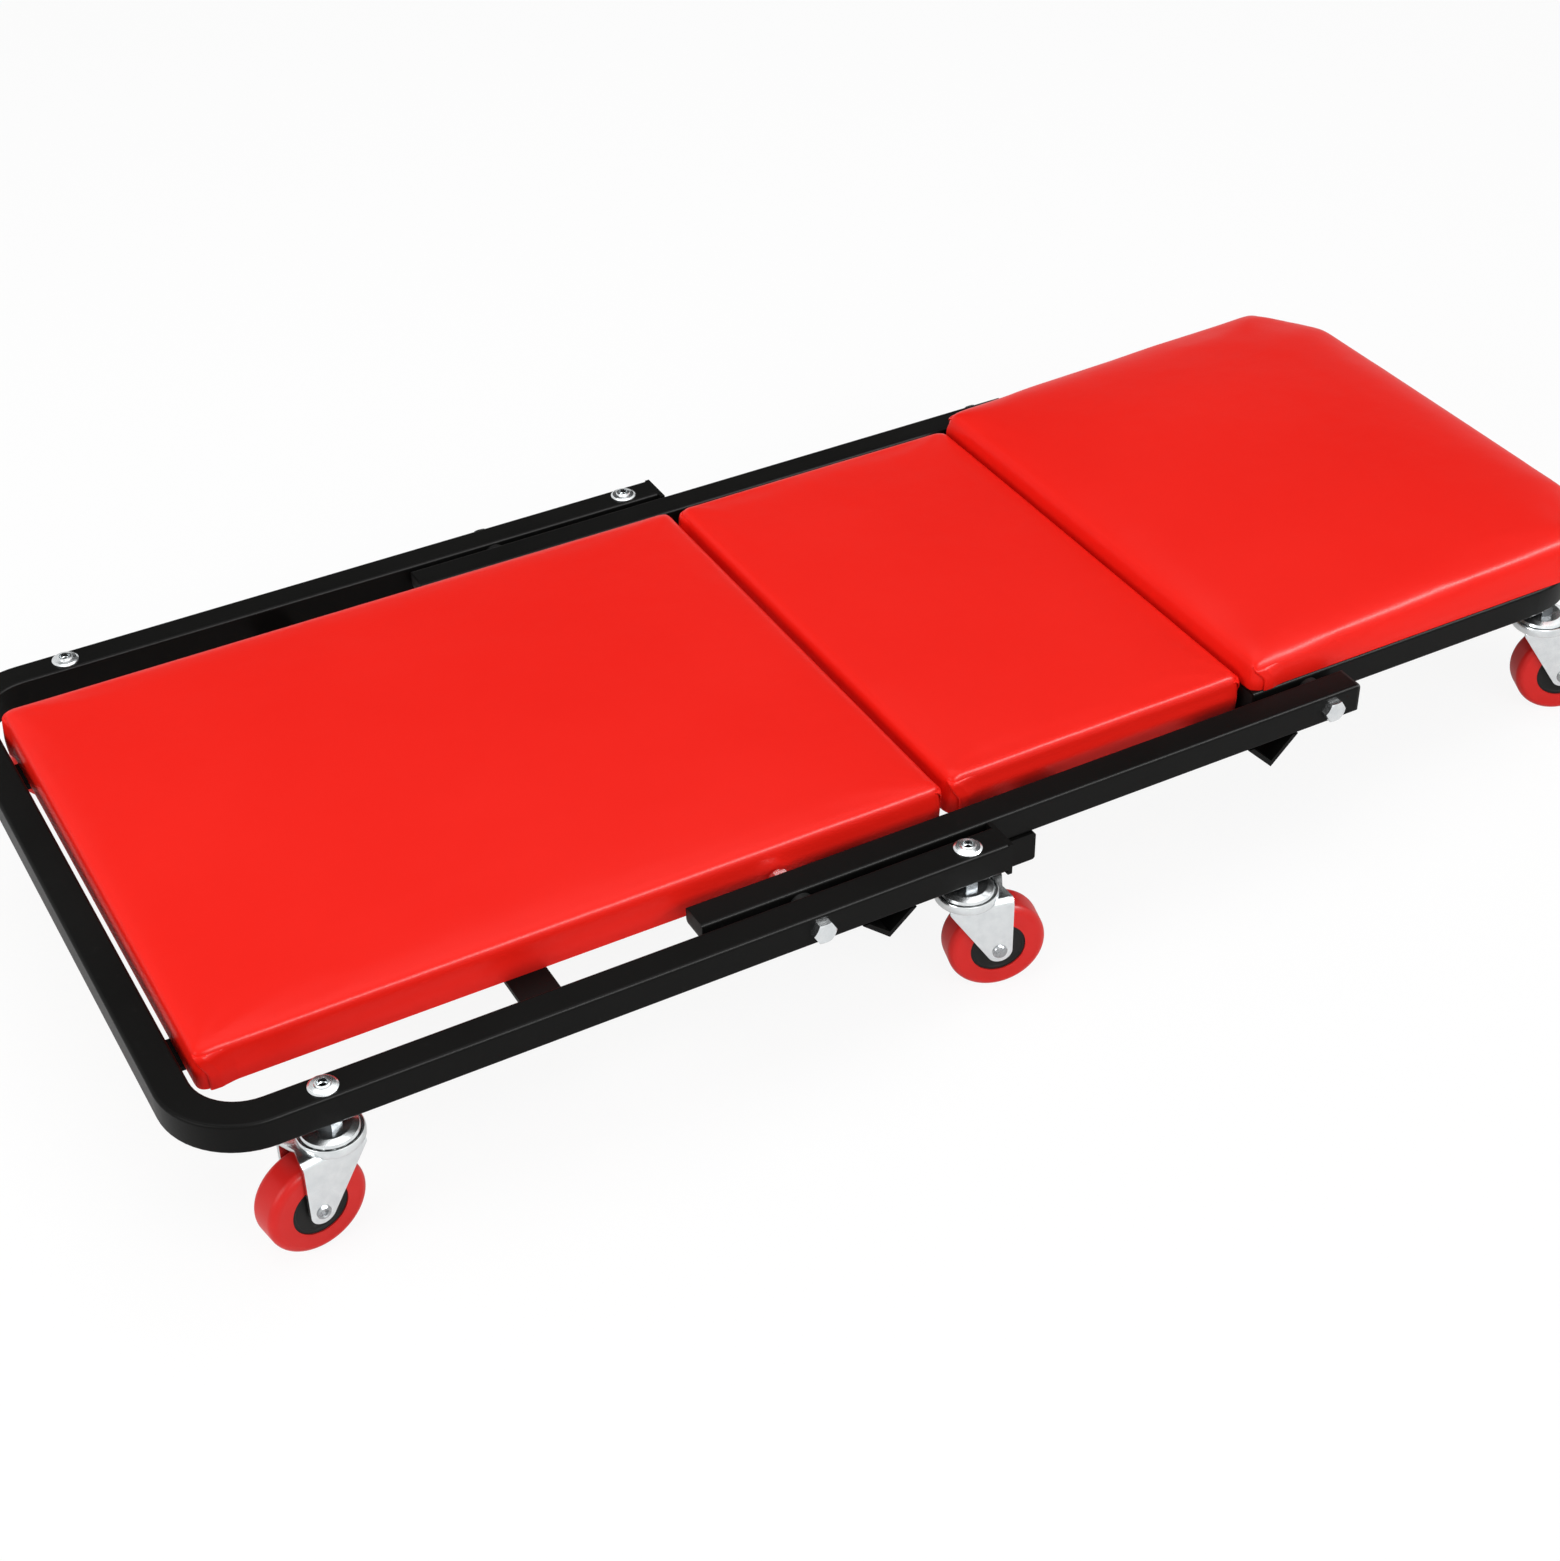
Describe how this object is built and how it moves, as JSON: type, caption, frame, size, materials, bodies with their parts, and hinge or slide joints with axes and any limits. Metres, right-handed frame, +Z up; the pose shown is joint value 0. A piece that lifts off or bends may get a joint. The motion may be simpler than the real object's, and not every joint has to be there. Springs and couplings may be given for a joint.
{
  "type": "folding creeper stool",
  "caption": "Folding mechanic's creeper with red padded boards on nested black tube frames and red swivel casters; it folds in a Z into a rolling stool.",
  "frame": {"origin": "on the floor under the middle of the creeper as it lies flat", "axes": "+X towards the head end, +Y to the right side seen by someone lying on it with the head at +X facing up, +Z up"},
  "size_m": [1.014, 0.4936, 0.1373],
  "materials": {
    "frame_black": "satin black powder coat",
    "zinc_plate": "bright zinc plate",
    "bearing_steel": "polished",
    "pad_cover": "grained red vinyl, semi-gloss",
    "plywood": "raw",
    "tyre_red": "smooth red polyurethane",
    "black_plastic": "moulded"
  },
  "bodies": {
    "base_frame": {"base_tube": "frame_black", "base_end_plates": "frame_black", "base_pad_strips": "frame_black", "base_stop_bar": "frame_black", "base_rest_bar": "frame_black", "foot_pad_board": "plywood", "foot_pad_cushion": "pad_cover", "foot_pad_screws": "zinc_plate", "base_sleeve_nuts": "zinc_plate", "base_caster_stems": "zinc_plate", "base_caster_nuts": "zinc_plate", "base_swivel_balls": "bearing_steel", "front_pivot_bolts": "zinc_plate", "front_pivot_washers": "black_plastic", "front_pivot_nuts": "zinc_plate"},
    "middle_frame": {"middle_left_tube": "frame_black", "middle_right_tube": "frame_black", "middle_tube_plugs": "black_plastic", "middle_pad_strips": "frame_black", "middle_stop_bar": "frame_black", "middle_pad_board": "plywood", "middle_pad_cushion": "pad_cover", "middle_pad_screws": "zinc_plate", "rear_pivot_bolts": "zinc_plate", "rear_pivot_washers": "black_plastic", "rear_pivot_nuts": "zinc_plate"},
    "head_frame": {"head_tube": "frame_black", "head_tube_plugs": "black_plastic", "head_cross_strips": "frame_black", "head_pad_board": "plywood", "head_pad_cushion": "pad_cover", "head_pad_screws": "zinc_plate", "head_sleeve_nuts": "zinc_plate", "head_caster_stems": "zinc_plate", "head_caster_nuts": "zinc_plate", "head_swivel_balls": "bearing_steel"},
    "foot_left_swivel": {"foot_left_fork": "zinc_plate", "foot_left_axle": "zinc_plate"},
    "foot_left_wheel": {"foot_left_hub": "black_plastic", "foot_left_tyre": "tyre_red"},
    "foot_right_swivel": {"foot_right_fork": "zinc_plate", "foot_right_axle": "zinc_plate"},
    "foot_right_wheel": {"foot_right_hub": "black_plastic", "foot_right_tyre": "tyre_red"},
    "mid_left_swivel": {"mid_left_fork": "zinc_plate", "mid_left_axle": "zinc_plate"},
    "mid_left_wheel": {"mid_left_hub": "black_plastic", "mid_left_tyre": "tyre_red"},
    "mid_right_swivel": {"mid_right_fork": "zinc_plate", "mid_right_axle": "zinc_plate"},
    "mid_right_wheel": {"mid_right_hub": "black_plastic", "mid_right_tyre": "tyre_red"},
    "head_left_swivel": {"head_left_fork": "zinc_plate", "head_left_axle": "zinc_plate"},
    "head_left_wheel": {"head_left_hub": "black_plastic", "head_left_tyre": "tyre_red"},
    "head_right_swivel": {"head_right_fork": "zinc_plate", "head_right_axle": "zinc_plate"},
    "head_right_wheel": {"head_right_hub": "black_plastic", "head_right_tyre": "tyre_red"}
  },
  "joints": [
    {"name": "middle_fold", "type": "hinge", "parent": "base_frame", "child": "middle_frame", "pos_m": [-0.132, 0, 0.091], "axis": [0, -1, 0], "range_deg": [0, 139]},
    {"name": "head_fold", "type": "hinge", "parent": "middle_frame", "child": "head_frame", "pos_m": [0.248, 0, 0.091], "axis": [0, 1, 0], "range_deg": [0, 135]},
    {"name": "foot_left_swivel_turn", "type": "hinge", "parent": "base_frame", "child": "foot_left_swivel", "pos_m": [-0.427, -0.225, 0.067], "axis": [0, 0, 1], "continuous": true},
    {"name": "foot_left_wheel_spin", "type": "hinge", "parent": "foot_left_swivel", "child": "foot_left_wheel", "pos_m": [-0.44423, -0.22804, 0.03], "axis": [0.1736, -0.9848, 0], "continuous": true},
    {"name": "foot_right_swivel_turn", "type": "hinge", "parent": "base_frame", "child": "foot_right_swivel", "pos_m": [-0.427, 0.225, 0.067], "axis": [0, 0, 1], "continuous": true},
    {"name": "foot_right_wheel_spin", "type": "hinge", "parent": "foot_right_swivel", "child": "foot_right_wheel", "pos_m": [-0.44423, 0.22804, 0.03], "axis": [-0.1736, -0.9848, 0], "continuous": true},
    {"name": "mid_left_swivel_turn", "type": "hinge", "parent": "base_frame", "child": "mid_left_swivel", "pos_m": [-0.029, -0.225, 0.067], "axis": [0, 0, 1], "continuous": true},
    {"name": "mid_left_wheel_spin", "type": "hinge", "parent": "mid_left_swivel", "child": "mid_left_wheel", "pos_m": [-0.0121, -0.22953, 0.03], "axis": [0.2588, 0.9659, 0], "continuous": true},
    {"name": "mid_right_swivel_turn", "type": "hinge", "parent": "base_frame", "child": "mid_right_swivel", "pos_m": [-0.029, 0.225, 0.067], "axis": [0, 0, 1], "continuous": true},
    {"name": "mid_right_wheel_spin", "type": "hinge", "parent": "mid_right_swivel", "child": "mid_right_wheel", "pos_m": [-0.0121, 0.22953, 0.03], "axis": [-0.2588, 0.9659, 0], "continuous": true},
    {"name": "head_left_swivel_turn", "type": "hinge", "parent": "head_frame", "child": "head_left_swivel", "pos_m": [0.453, -0.175, 0.067], "axis": [0, 0, 1], "continuous": true},
    {"name": "head_left_wheel_spin", "type": "hinge", "parent": "head_left_swivel", "child": "head_left_wheel", "pos_m": [0.46899, -0.18212, 0.03], "axis": [0.4067, 0.9135, 0], "continuous": true},
    {"name": "head_right_swivel_turn", "type": "hinge", "parent": "head_frame", "child": "head_right_swivel", "pos_m": [0.453, 0.175, 0.067], "axis": [0, 0, 1], "continuous": true},
    {"name": "head_right_wheel_spin", "type": "hinge", "parent": "head_right_swivel", "child": "head_right_wheel", "pos_m": [0.46899, 0.18212, 0.03], "axis": [-0.4067, 0.9135, 0], "continuous": true}
  ]
}
